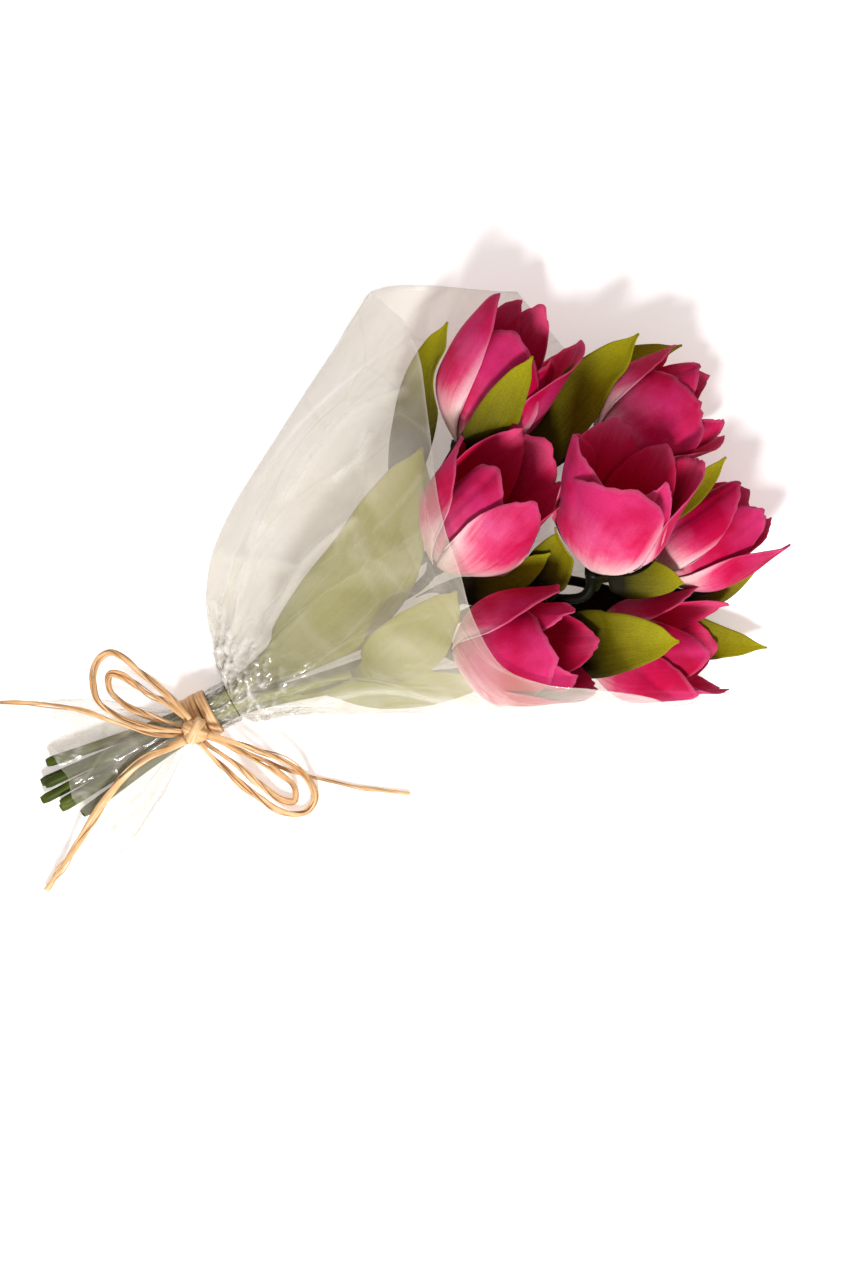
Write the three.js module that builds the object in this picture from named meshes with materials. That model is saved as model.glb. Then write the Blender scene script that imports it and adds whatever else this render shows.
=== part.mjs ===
import * as THREE from "three";

// A bunch of seven fabric tulips in a clear film sleeve, tied with raffia, lying on a table.
// Millimetres, +Z up, the table at z = 0. The flowers point along +X and the stem ends along -X.
// Places in the bunch are measured from the tie: x along the bunch, y to its left, z above the table.

const V = (x, y, z) => new THREE.Vector3(x, y, z);

// Driving dimensions
const bunchCentre = V(83, 17, 0);
const petalThickness = 0.8;
const leafThickness = 0.8;
const filmThickness = 0.6;
const stemRadius = 2.2;
const gap = 0.3;
const tieHeight = 10.4;
const stemPitch = 5.2;
const neckRadius = 8.2;

// Finishes
const finishes = {
  outerPetal: { color: 0xc93a7f, roughness: 0.85 },
  innerPetal: { color: 0xa3123a, roughness: 0.85 },
  leaf: { color: 0x9a8f2a, roughness: 0.8 },
  stem: { color: 0x5c6350, roughness: 0.5 },
  film: { color: 0xe9e6df, roughness: 0.1 },
  raffia: { color: 0xd9a468, roughness: 0.7 },
};

const bunch = new THREE.Group();

function addPiece(name, geometry, finish, parent = bunch) {
  const material = new THREE.MeshStandardMaterial({ ...finishes[finish], metalness: 0 });
  const mesh = new THREE.Mesh(geometry, material);
  mesh.name = name;
  parent.add(mesh);
  return mesh;
}

// A thin wall around a grid of points: rows run along it and columns across it.
// With wrap the columns close on themselves, and with cap the first row closes to a point.
function thinWall(grid, thickness, { wrap = false, cap = false } = {}) {
  const lastRow = grid.length - 1;
  const columns = grid[0].length;
  const positions = [];
  const faces = [];
  const at = (row, column) => 2 * (row * columns + (column + columns) % columns);
  const point = (row, column) => {
    const line = grid[Math.min(Math.max(row, 0), lastRow)];
    const index = wrap ? (column + columns) % columns : Math.min(Math.max(column, 0), columns - 1);
    return line[index];
  };
  for (let row = 0; row <= lastRow; row++) {
    for (let column = 0; column < columns; column++) {
      const along = point(row + 1, column).clone().sub(point(row - 1, column));
      const across = point(row, column + 1).clone().sub(point(row, column - 1));
      const offset = along.cross(across).normalize().multiplyScalar(thickness / 2);
      positions.push(...point(row, column).clone().add(offset).toArray());
      positions.push(...point(row, column).clone().sub(offset).toArray());
    }
  }
  const wall = (a, b) => faces.push(b, a, a + 1, b, a + 1, b + 1);
  const lastColumn = wrap ? columns : columns - 1;
  for (let row = 0; row < lastRow; row++) {
    for (let column = 0; column < lastColumn; column++) {
      const a = at(row, column);
      const b = at(row + 1, column);
      const c = at(row + 1, column + 1);
      const d = at(row, column + 1);
      faces.push(a, b, c, a, c, d);
      faces.push(a + 1, c + 1, b + 1, a + 1, d + 1, c + 1);
    }
    if (!wrap) {
      wall(at(row, 0), at(row + 1, 0));
      wall(at(row + 1, columns - 1), at(row, columns - 1));
    }
  }
  for (let column = 0; column < lastColumn; column++) {
    wall(at(lastRow, column), at(lastRow, column + 1));
    if (!cap) wall(at(0, column + 1), at(0, column));
  }
  if (cap) closeFoot(positions, faces, columns, at);
  const geometry = new THREE.BufferGeometry();
  geometry.setAttribute("position", new THREE.Float32BufferAttribute(positions, 3));
  geometry.setIndex(faces);
  geometry.computeVertexNormals();
  return geometry;
}

// Closes both skins of a wrapped wall to a point at its first row
function closeFoot(positions, faces, columns, at) {
  for (const side of [0, 1]) {
    const rim = [];
    for (let column = 0; column < columns; column++) rim.push(at(0, column) + side);
    const centre = V(0, 0, 0);
    for (const corner of rim) centre.add(V(...positions.slice(3 * corner, 3 * corner + 3)));
    const pole = positions.length / 3;
    positions.push(...centre.divideScalar(columns).toArray());
    rim.forEach((corner, index) => {
      const next = rim[(index + 1) % columns];
      faces.push(...(side === 0 ? [corner, next, pole] : [next, corner, pole]));
    });
  }
}

// Flowers. foot and mouth are the ends of each flower's axis, radius is that of its widest place,
// and mouthWidth the share of it that is left at the mouth. packed is the angle of the stem's place
// round the middle stem in the tied bundle, cutEnd its lower end, and way the places it passes above.
// A leaf leaves the stem at a share of its length, on the side given by an angle from straight up.
const tulips = [
  {
    foot: V(143, 48, 23), mouth: V(189, 76, 38), radius: 22, mouthWidth: 0.72, turn: 20,
    packed: 0, cutEnd: V(-66, 13, 7), way: [V(80, 24, 16)],
    leaves: [
      {
        from: 0.78, side: 60, way: [V(128, 59, 24), V(142, 77, 26)], tip: V(160, 92, 33),
        width: 24, roll: 42,
      },
      {
        from: 0.87, side: -60, way: [V(146, 40, 43), V(164, 52, 55)], tip: V(181, 62, 60), width: 20,
        roll: -5,
      },
    ],
  },
  {
    foot: V(111.5, 9, 37), mouth: V(162, 28, 60), radius: 22.3, mouthWidth: 0.76, turn: 50,
    packed: 60, cutEnd: V(-70, 5.5, 11), way: [V(60, 7, 24)],
    leaves: [
      {
        from: 0.52, side: 10, way: [V(66, 12, 31), V(86, 19, 33), V(108, 36, 34)], tip: V(128, 53, 33),
        width: 38, roll: 5,
      },
      { from: 0.92, side: -90, way: [V(128, -9, 38)], tip: V(152, -8, 50), width: 15, roll: -20 },
    ],
  },
  {
    foot: V(102, -25, 36), mouth: V(146, -45, 60), radius: 22.5, mouthWidth: 0.8, turn: 0,
    packed: 120, cutEnd: V(-68, -4.5, 11), way: [V(55, -12, 22)],
    leaves: [
      {
        from: 0.75, side: -10, way: [V(82, -14, 38), V(96, -11, 43)], tip: V(113, -4, 47),
        width: 28, roll: -20,
      },
      {
        from: 0.62, side: -90, way: [V(70, -24.5, 19), V(86, -32.5, 18)], tip: V(108, -42, 19), width: 18,
        roll: -25,
      },
    ],
  },
  {
    foot: V(165, -21.5, 43), mouth: V(199, 9, 68), radius: 22, mouthWidth: 0.9, turn: 35,
    packed: null, cutEnd: V(-75, 0.5, 6.5), way: [V(65, -4, 17), V(120, -9, 24)],
    leaves: [
      { from: 0.84, side: 0, way: [V(145, -16, 42)], tip: V(163, -4, 56), width: 20, roll: 20 },
      { from: 0.97, side: -70, way: [V(178, -32, 42)], tip: V(193, -43, 41), width: 19, roll: -30 },
    ],
  },
  {
    foot: V(191, 23, 23), mouth: V(239, 20, 29), radius: 22, mouthWidth: 0.75, turn: 10,
    packed: -60, cutEnd: V(-72, 7, 4.6), way: [V(70, 11, 11), V(135, 17, 14)],
    leaves: [
      {
        from: 0.75, side: 60, way: [V(176, 36, 24), V(200, 44, 34)], tip: V(224, 52, 39),
        width: 28, roll: 20,
      },
      { from: 0.82, side: 100, way: [V(205, 46, 10)], tip: V(240, 41, 18), width: 18, roll: 20 },
    ],
  },
  {
    foot: V(188, -36, 22), mouth: V(235, -29, 28), radius: 19.5, mouthWidth: 0.85, turn: 45,
    packed: -120, cutEnd: V(-70, -6, 4.6), way: [V(70, -12, 10), V(150, -18, 13)],
    leaves: [
      {
        from: 0.88, side: 60, way: [V(193, -15, 38), V(213, -13, 45)], tip: V(230, -7, 49), width: 14,
        roll: 10,
      },
      { from: 0.97, side: -90, way: [V(202, -50, 14)], tip: V(227, -50, 18), width: 16, roll: -20 },
    ],
  },
  {
    foot: V(147, -49, 20), mouth: V(193, -72, 27), radius: 20.5, mouthWidth: 0.85, turn: 25,
    packed: 180, cutEnd: V(-63, -12, 6), way: [V(60, -18, 13), V(110, -37, 15)],
    leaves: [
      { from: 0.9, side: 0, way: [V(159, -51, 46)], tip: V(180, -62, 50), width: 27, roll: -10 },
      {
        from: 0.88, side: 90, way: [V(167, -41, 7), V(192, -67, 9)], tip: V(214, -83, 11),
        width: 21, roll: 0,
      },
    ],
  },
];

const petalsInLayer = 3;
const columnsInPetal = 6;
const footRings = [0, 0.1, 0.3];
const lobeRows = 3;
const footWidth = 0.17;
const widestAt = 0.42;
const footRound = 2.2;
const mouthRound = 2;
const lobeRound = 0.6;
const leastRise = 0.02;
const innerWidth = 0.75;
const innerLift = 1.3;

// Radius of a flower at a share of its length, as a share of its greatest radius
function bellWidth(tulip, share) {
  if (share < widestAt) {
    return 1 - (1 - footWidth) * Math.pow(1 - share / widestAt, footRound);
  }
  const beyond = (share - widestAt) / (1 - widestAt);
  return 1 - (1 - tulip.mouthWidth) * Math.pow(beyond, mouthRound);
}

// One layer of three petals: a bell whose rim is cut into three rounded lobes
function petalLayer(tulip, width, lift, turn) {
  const length = tulip.mouth.distanceTo(tulip.foot) - lift;
  const columns = petalsInLayer * columnsInPetal;
  const cleftAt = footRings[footRings.length - 1];
  const grid = [];
  for (let row = 0; row < footRings.length + lobeRows; row++) {
    const line = [];
    for (let column = 0; column < columns; column++) {
      const angle = (2 * Math.PI * column) / columns;
      const lobe = Math.pow(Math.abs(Math.cos((petalsInLayer / 2) * angle)), lobeRound);
      const rise = ((row + 1 - footRings.length) / lobeRows) * lobe * (1 - cleftAt);
      const share = row < footRings.length ? footRings[row] : cleftAt + Math.max(rise, leastRise * row);
      const radius = tulip.radius * width * bellWidth(tulip, share);
      const heading = angle + THREE.MathUtils.degToRad(turn);
      line.push(V(radius * Math.cos(heading), radius * Math.sin(heading), lift + length * share));
    }
    grid.push(line);
  }
  return thinWall(grid, petalThickness, { wrap: true, cap: true });
}

const axisOf = (tulip) => tulip.mouth.clone().sub(tulip.foot).normalize();

function addFlower(tulip, name) {
  const head = new THREE.Group();
  head.position.copy(tulip.foot);
  head.quaternion.setFromUnitVectors(V(0, 0, 1), axisOf(tulip));
  bunch.add(head);
  addPiece(`${name}_outer_petals`, petalLayer(tulip, 1, 0, tulip.turn), "outerPetal", head);
  const inner = petalLayer(tulip, innerWidth, innerLift, tulip.turn + 180 / petalsInLayer);
  addPiece(`${name}_inner_petals`, inner, "innerPetal", head);
}

// A point is beside a flower between these shares of its axis
const besideFrom = -0.1;
const besideTo = 1.05;

// The way out of a flower for a point inside it or against its side: how far it must move, and where
function wayOut(point, tulip, margin) {
  const share = point.clone().sub(tulip.foot).dot(axisOf(tulip)) / tulip.mouth.distanceTo(tulip.foot);
  if (share < besideFrom || share > besideTo) return null;
  const width = bellWidth(tulip, THREE.MathUtils.clamp(share, 0, 1));
  const outward = point.clone().sub(tulip.foot.clone().lerp(tulip.mouth, share));
  const depth = tulip.radius * width + margin - outward.length();
  return depth > 0 ? outward.normalize().multiplyScalar(depth) : null;
}

// Moves a point that lies inside or against a flower out to its side
function clearOfFlowers(point, margin) {
  for (const tulip of tulips) {
    const out = wayOut(point, tulip, margin);
    if (out) point.add(out);
  }
  return point;
}

// Moves a point of the film away from the middle of the bunch until no flower is in its way
function overFlowers(point, margin) {
  const outward = V(0, point.y, point.z).normalize();
  while (tulips.some((tulip) => wayOut(point, tulip, margin))) point.add(outward);
  return point;
}

// Moves a point that lies inside or against a stem out to its side
function clearOfStems(point, margin) {
  for (const stem of stemLines) {
    for (const place of stem) {
      const outward = point.clone().sub(place);
      const least = stemRadius + margin;
      if (outward.length() < least) point.copy(place).addScaledVector(outward.normalize(), least);
    }
  }
  return point;
}

// Stems: a round wire from the cut end, through the tie and up to the foot of the flower
const stemSides = 8;
const stemSteps = 14;
const tieLength = 14;
const footRun = 12;
const stemPoints = 120;

function ring(radius, sides) {
  const shape = new THREE.Shape();
  for (let side = 0; side < sides; side++) {
    const angle = (2 * Math.PI * side) / sides;
    const x = radius * Math.cos(angle);
    const y = radius * Math.sin(angle);
    if (side === 0) shape.moveTo(x, y);
    else shape.lineTo(x, y);
  }
  shape.closePath();
  return shape;
}

const smooth = (points) => new THREE.CatmullRomCurve3(points, false, "centripetal");

function tube(curve, radius, sides, steps) {
  const options = { steps, bevelEnabled: false, extrudePath: curve };
  return new THREE.ExtrudeGeometry(ring(radius, sides), options);
}

function stemCurve(tulip) {
  const axis = axisOf(tulip);
  const tie = V(0, 0, tieHeight);
  if (tulip.packed !== null) {
    const angle = THREE.MathUtils.degToRad(tulip.packed);
    tie.add(V(0, Math.cos(angle), Math.sin(angle)).multiplyScalar(stemPitch));
  }
  const foot = tulip.foot.clone().addScaledVector(axis, -gap - petalThickness);
  return smooth([
    tulip.cutEnd,
    tie.clone().setX(-tieLength),
    tie,
    tie.clone().setX(tieLength),
    ...tulip.way,
    foot.clone().addScaledVector(axis, -footRun),
    foot,
  ]);
}

const stemLines = tulips.map((tulip) => stemCurve(tulip).getSpacedPoints(stemPoints));

// Leaves: a pointed blade that starts flat against its stem
const leafRows = 8;
const leafColumns = 4;
const leafMargin = 2.2;
const leafPlay = 0.1;
const stemMargin = gap + leafThickness / 2 + leafPlay;
const rootRun = 7;
const rootLift = 1;
const settledAt = 0.45;
const leafCurl = 0.12;
const leafNeckAt = 0.15;
const leafRootWidth = 0.13;
const leafNeckWidth = 0.43;
const leafTipWidth = 0.08;
const leafSwell = { from: 0.16, to: 0.98, round: 0.8 };

function leafWall(tulip, leaf) {
  const stem = stemCurve(tulip);
  const root = stem.getPointAt(leaf.from);
  const along = stem.getTangentAt(leaf.from);
  const outward = normalAt(along, leaf.side);
  const seat = stemRadius + gap + leafThickness / 2;
  const spine = smooth([
    root.clone().addScaledVector(outward, seat),
    root.clone().addScaledVector(outward, seat + rootLift).addScaledVector(along, rootRun),
    ...leaf.way,
    leaf.tip,
  ]);
  const grid = [];
  for (let row = 0; row <= leafRows; row++) {
    const share = row / leafRows;
    const tangent = spine.getTangentAt(share);
    const settled = THREE.MathUtils.smoothstep(share, 0, settledAt);
    const normal = normalAt(tangent, THREE.MathUtils.lerp(leaf.side, leaf.roll, settled));
    const sideways = tangent.clone().cross(normal);
    const half = (leaf.width / 2) * leafShare(share);
    const line = [];
    for (let column = 0; column <= leafColumns; column++) {
      const across = (2 * column) / leafColumns - 1;
      const point = spine.getPointAt(share).addScaledVector(sideways, across * half);
      point.addScaledVector(normal, leafCurl * half * across * across * settled);
      if (row > 1) clearOfFlowers(point, leafMargin);
      line.push(clearOfStems(point, stemMargin));
    }
    grid.push(line);
  }
  return thinWall(grid, leafThickness);
}

// Half width of a leaf along its length, as a share of its greatest half width
function leafShare(share) {
  if (share < leafNeckAt) return THREE.MathUtils.lerp(leafRootWidth, leafNeckWidth, share / leafNeckAt);
  const beyond = (share - leafNeckAt) / (1 - leafNeckAt);
  const swell = Math.sin(Math.PI * THREE.MathUtils.lerp(leafSwell.from, leafSwell.to, beyond));
  return Math.max(leafTipWidth, Math.pow(swell, leafSwell.round));
}

// The direction square to a line, turned about it by an angle from straight up
function normalAt(along, degrees) {
  const up = V(0, 0, 1).addScaledVector(along, -along.z).normalize();
  return up.applyAxisAngle(along, -THREE.MathUtils.degToRad(degrees));
}

tulips.forEach((tulip, index) => {
  const name = `tulip${index + 1}`;
  addFlower(tulip, name);
  addPiece(`${name}_stem`, tube(stemCurve(tulip), stemRadius, stemSides, stemSteps), "stem");
  tulip.leaves.forEach((leaf, leafIndex) => {
    addPiece(`${name}_leaf_${"ab"[leafIndex]}`, leafWall(tulip, leaf), "leaf");
  });
});

// Film sleeve. The back panel lies flat, and the front panel arches over the stems and the feet
// of the flowers, from one side edge to the other. Each line here is one arch, left edge first.
const edgeHeight = filmThickness * 1.5 + gap;
const filmArches = [
  [V(13, 6.6, 4.6), V(13, 7.4, 14), V(13, 0, 18.7), V(13, -7.4, 14), V(13, -6.6, 4.6)],
  [V(19, 36, edgeHeight), V(25, 26, 11), V(31, 6, 26), V(32, -9, 22), V(31, -17, edgeHeight)],
  [
    V(36, 60, edgeHeight), V(48, 44, 20), V(66, 14, 40), V(66, -14, 36), V(63, -30, 20),
    V(62, -34, edgeHeight),
  ],
  [
    V(88, 92, edgeHeight), V(92, 72, 28), V(100, 30, 50), V(98, 0, 58), V(98, -30, 58),
    V(98, -48, 40), V(97, -50, edgeHeight),
  ],
  [
    V(117, 108, edgeHeight), V(120, 82, 32), V(116, 42, 54), V(110, 14, 65), V(107, -14, 65),
    V(106, -34, 64), V(111, -54, 58), V(124, -63, 42), V(140, -72, 22), V(146, -72, edgeHeight),
  ],
  [
    V(140, 121, edgeHeight), V(145, 93, 34), V(132, 54, 50), V(122, 26, 69), V(117, 0, 69),
    V(113, -30, 70), V(124, -48, 72), V(139, -60, 74), V(158, -74, 52), V(172, -86, 28),
    V(185, -86, edgeHeight),
  ],
];
const backRim = [V(196, -50, 0), V(203, 0, 0), V(203, 50, 0), V(193, 93, 0)];
const filmRows = 13;
const filmColumns = 17;
const filmMargin = 3;

function frontPanel() {
  const arches = filmArches.map((points) => smooth(points).getSpacedPoints(filmColumns));
  const lines = [];
  for (let column = 0; column <= filmColumns; column++) {
    lines.push(smooth(arches.map((arch) => arch[column])).getPoints(filmRows));
  }
  const grid = [];
  for (let row = 0; row <= filmRows; row++) {
    grid.push(lines.map((line) => overFlowers(line[row].clone(), filmMargin)));
  }
  return thinWall(grid, filmThickness);
}

function backPanel() {
  const lefts = filmArches.map((arch) => arch[0]);
  const rights = filmArches.map((arch) => arch[arch.length - 1]);
  const shape = new THREE.Shape();
  shape.moveTo(lefts[0].x + gap, lefts[0].y);
  for (const point of [...lefts.slice(1), ...backRim.slice().reverse(), ...rights.slice(1).reverse()]) {
    shape.lineTo(point.x, point.y);
  }
  shape.lineTo(rights[0].x + gap, rights[0].y);
  shape.closePath();
  return new THREE.ExtrudeGeometry(shape, { depth: filmThickness, bevelEnabled: false });
}

// The neck is drawn in round the stems, and the skirt below it spreads round their cut ends
const skirtRings = [
  { x: 12.6, wide: neckRadius, high: neckRadius, middle: tieHeight },
  { x: 4, wide: neckRadius, high: neckRadius, middle: tieHeight },
  { x: -9, wide: neckRadius, high: neckRadius, middle: tieHeight },
  { x: -16, wide: 10.5, high: 8.6, middle: 10 },
  { x: -30, wide: 20, high: 8.4, middle: 9.2 },
  { x: -46, wide: 29, high: 8, middle: 8.8 },
  { x: -61, wide: 36, high: 7.6, middle: 8.4 },
];
const skirtColumns = 16;

function skirt() {
  const grid = skirtRings.map(({ x, wide, high, middle }) => {
    const line = [];
    for (let column = 0; column < skirtColumns; column++) {
      const angle = (2 * Math.PI * column) / skirtColumns;
      line.push(V(x, wide * Math.cos(angle), middle + high * Math.sin(angle)));
    }
    return line;
  });
  return thinWall(grid, filmThickness, { wrap: true });
}

addPiece("sleeve_back", backPanel(), "film");
addPiece("sleeve_front", frontPanel(), "film");
addPiece("sleeve_skirt", skirt(), "film");

// Raffia band: two turns side by side round the neck, as one ring about the X axis
const bandInner = neckRadius + filmThickness / 2 + gap;
const bandOuter = 10;
const bandFrom = -8;
const bandTo = 4;
const bandSides = 20;
const bandTurnSide = 0.5;
const bandTurnTop = 2.5;
const bandDip = 0.5;

function band() {
  const middle = (bandFrom + bandTo) / 2;
  const profile = [
    [bandInner, bandFrom],
    [bandOuter - bandDip, bandFrom + bandTurnSide],
    [bandOuter, bandFrom + bandTurnTop],
    [bandOuter - bandDip, middle],
    [bandOuter, bandTo - bandTurnTop],
    [bandOuter - bandDip, bandTo - bandTurnSide],
    [bandInner, bandTo],
    [bandInner, bandFrom],
  ];
  const points = profile.map(([radius, along]) => new THREE.Vector2(radius, along));
  return new THREE.LatheGeometry(points, bandSides);
}

const bandMesh = addPiece("raffia_wrap", band(), "raffia");
bandMesh.rotation.z = -Math.PI / 2;
bandMesh.position.z = tieHeight;

// Knot: a rounded lump on top of the band
const knotSize = V(5.2, 4.8, 3.6);
const knotPlace = V(-5, -4, tieHeight + bandOuter + knotSize.z);
const knotSegments = 10;
const knotRings = 7;
const knotMesh = addPiece("raffia_knot", new THREE.SphereGeometry(1, knotSegments, knotRings), "raffia");
knotMesh.scale.copy(knotSize);
knotMesh.position.copy(knotPlace);

// Where a strand meets the knot: a gap off its surface, at an angle round it and one above its middle
function port(around, above) {
  const round = THREE.MathUtils.degToRad(around);
  const rise = THREE.MathUtils.degToRad(above);
  const heading = V(Math.cos(round) * Math.cos(rise), Math.sin(round) * Math.cos(rise), Math.sin(rise));
  const reach = 1 / heading.clone().divide(knotSize).length() + 2 * gap;
  return knotPlace.clone().addScaledVector(heading, reach);
}

// Bow loops and tails: each starts at the knot, and a loop comes back to it
const cords = {
  raffia_loop_left_outer: {
    radius: 1.1,
    route: [
      port(85, 14), V(-7, 12, 26.5), V(-12, 24, 27.5), V(-16, 34, 27), V(-20, 39.5, 26.5), V(-26, 39, 26),
      V(-31, 34, 25.5), V(-33.5, 26, 25), V(-30, 16, 25), V(-22, 7, 25), port(152, 14),
    ],
  },
  raffia_loop_left_inner: {
    radius: 1.1,
    route: [
      port(97, -22), V(-10, 11, 21.5), V(-16, 20, 22), V(-20.5, 29, 21.5), V(-25, 32, 21),
      V(-27.5, 28, 21), V(-25.5, 19, 21.5), V(-18, 9, 21.5), port(132, -22),
    ],
  },
  raffia_loop_right_outer: {
    radius: 1.1,
    route: [
      port(-42, 14), V(6, -15, 23), V(14, -24, 18.5), V(21, -33, 13), V(24.5, -42, 8.5), V(23, -51, 5),
      V(17, -54.5, 3.5), V(9.5, -50, 4.5), V(3.5, -40, 9), V(-1, -28, 15), V(-4, -17, 21), port(-98, 14),
    ],
  },
  raffia_loop_right_inner: {
    radius: 1.1,
    route: [
      port(-52, -22), V(3, -15, 18), V(10, -25, 13), V(15, -34, 8), V(18, -43, 5), V(15, -48, 3),
      V(10, -44, 4), V(6, -35, 7), V(2, -24, 11.5), V(-2.4, -14, 17.5), port(-84, -22),
    ],
  },
  raffia_tail_left_thin: {
    radius: 0.9,
    route: [
      port(172, -20), V(-20, 2, 22.6), V(-30, 12, 23), V(-41, 24, 22), V(-54, 34, 19),
      V(-70, 43, 13), V(-88, 51, 5),
    ],
  },
  raffia_tail_left_wide: {
    radius: 1.7,
    route: [
      port(195, 14), V(-18, -5, 24.5), V(-28, -4.6, 23), V(-42, -8, 21), V(-56, -14.5, 19.5),
      V(-68, -21, 14.5), V(-80, -27, 7), V(-91, -32.5, 2.2),
    ],
  },
  raffia_tail_right: {
    radius: 0.8,
    route: [
      port(-68, -50), V(4, -17, 12), V(11, -26, 6), V(20, -37, 2.6), V(30, -46.5, 1.4),
      V(43, -57, 1.2), V(58, -67.6, 1.2),
    ],
  },
};
const cordSides = 8;
const cordStep = 3;
const leastCordSteps = 4;

for (const [name, { radius, route }] of Object.entries(cords)) {
  const curve = smooth(route);
  const steps = Math.round(curve.getLength() / (2 * radius * cordStep)) + leastCordSteps;
  addPiece(name, tube(curve, radius, cordSides, steps), "raffia");
}

bunch.position.copy(bunchCentre).negate();
const part = new THREE.Group();
part.add(bunch);

export default part;
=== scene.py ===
import bpy
import bmesh
import numpy as np
from math import atan2, copysign, cos, exp, pi, radians, sin
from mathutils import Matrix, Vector, noise


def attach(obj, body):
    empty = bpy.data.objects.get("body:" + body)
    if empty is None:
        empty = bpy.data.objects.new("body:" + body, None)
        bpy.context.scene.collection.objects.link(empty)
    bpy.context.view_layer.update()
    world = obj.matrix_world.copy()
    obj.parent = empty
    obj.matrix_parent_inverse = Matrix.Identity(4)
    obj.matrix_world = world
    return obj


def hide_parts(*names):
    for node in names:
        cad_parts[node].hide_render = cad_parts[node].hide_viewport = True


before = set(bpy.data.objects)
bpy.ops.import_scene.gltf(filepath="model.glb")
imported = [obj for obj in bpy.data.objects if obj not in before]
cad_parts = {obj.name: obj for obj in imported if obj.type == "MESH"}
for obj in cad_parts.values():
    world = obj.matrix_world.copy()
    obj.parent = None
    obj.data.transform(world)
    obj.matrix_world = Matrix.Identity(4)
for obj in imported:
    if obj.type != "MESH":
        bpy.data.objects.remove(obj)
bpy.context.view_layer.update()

# Places are in millimetres from the tie of the bunch, x along it and z above the table
bunchCentre = Vector((83, 17, 0))
mm = 0.001
sameSpot = 1e-7  # corners nearer than this are one, in metres


def place(point):
    return (Vector(point) - bunchCentre) * mm


def addObject(name, data):
    made = bpy.data.objects.new(name, data)
    bpy.context.scene.collection.objects.link(made)
    return made


def setAll(thing, values):
    for key, value in dict(values).items():
        setattr(thing, key, value)


# Camera, straight above the bunch as in the photograph
cameraSettings = dict(location=(0.0103, -0.0313, 1), turn=-28,
    lens=dict(lens=69, sensor_width=36, clip_start=0.01))
camera = addObject("camera", bpy.data.cameras.new("camera"))
camera.location = cameraSettings["location"]
camera.rotation_euler = (0, 0, radians(cameraSettings["turn"]))
setAll(camera.data, cameraSettings["lens"])
bpy.context.scene.camera = camera
print("camera ready")


# Lines
def curveAt(ends, index, t):
    # a share t of the way from one point of a smooth curve to the next
    p0, p1, p2, p3 = ends[index:index + 4]
    d0, d1, d2 = (max(np.linalg.norm(b - a), 1e-6) ** 0.5 for a, b in ((p0, p1), (p1, p2), (p2, p3)))
    m1 = ((p1 - p0) / d0 - (p2 - p0) / (d0 + d1) + (p2 - p1) / d1) * d1
    m2 = ((p2 - p1) / d1 - (p3 - p1) / (d1 + d2) + (p3 - p2) / d2) * d1
    return p1 + m1 * t + (3 * (p2 - p1) - 2 * m1 - m2) * t ** 2 + (2 * (p1 - p2) + m1 + m2) * t ** 3


def smoothSteps(points, steps):
    # the smooth curve through the points, at even steps from each to the next
    given = np.array([list(point) for point in points], float)
    ends = np.vstack([2 * given[0] - given[1], given, 2 * given[-1] - given[-2]])
    made = []
    for step in range(steps + 1):
        onward = step / steps * (len(given) - 1)
        index = min(int(onward), len(given) - 2)
        made.append(curveAt(ends, index, onward - index))
    return np.array(made)


def lengthsAlong(line):
    return np.concatenate([[0], np.cumsum(np.linalg.norm(np.diff(line, axis=0), axis=1))])


def smoothLine(points, total):
    # points evenly spaced on the smooth curve through the given ones
    line = smoothSteps(points, 30 * (len(points) - 1))
    along = lengthsAlong(line)
    at = np.linspace(0, along[-1], total)
    return np.stack([np.interp(at, along, line[:, axis]) for axis in range(3)], axis=1)


def tangents(line):
    steps = np.gradient(line, axis=0)
    return steps / np.linalg.norm(steps, axis=1)[:, None]


def stepUp(value, low, high):
    t = min(max((value - low) / (high - low), 0), 1)
    return t * t * (3 - 2 * t)


def squareTo(along, degrees):
    # the direction square to a line, turned about it by an angle from straight up
    along = Vector(along).normalized()
    up = (Vector((0, 0, 1)) - along * along.z).normalized()
    angle = radians(degrees)
    return (up * cos(angle) - along.cross(up) * sin(angle)).normalized()


def lump(x, y, z):
    return noise.noise(Vector((x, y, z)))


def wander(seed, at, scale):
    # a slow wave along a piece, the same each time
    return lump(seed * 7.31, at * scale, seed * 3.7)


# Grids, tubes and finished pieces
def addGrid(mesh, columns, rows, move, uvSize=(1, 1)):
    # a grid whose corners go where move(across, along) says, both from 0 to 1
    uvLayer = mesh.loops.layers.uv.verify()
    riseLayer = mesh.verts.layers.float.get("rise") or mesh.verts.layers.float.new("rise")
    made = bmesh.ops.create_grid(mesh, x_segments=columns, y_segments=rows, size=1)
    places = {}
    for corner in made["verts"]:
        across, along = (corner.co.x + 1) / 2, (corner.co.y + 1) / 2
        places[corner] = (across, along)
        point, rise = move(across, along)
        corner.co = place(point)
        corner[riseLayer] = rise
    for face in {face for corner in made["verts"] for face in corner.link_faces}:
        for loop in face.loops:
            across, along = places[loop.vert]
            loop[uvLayer].uv = (across * uvSize[0], along * uvSize[1])
    return made["verts"]


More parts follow.
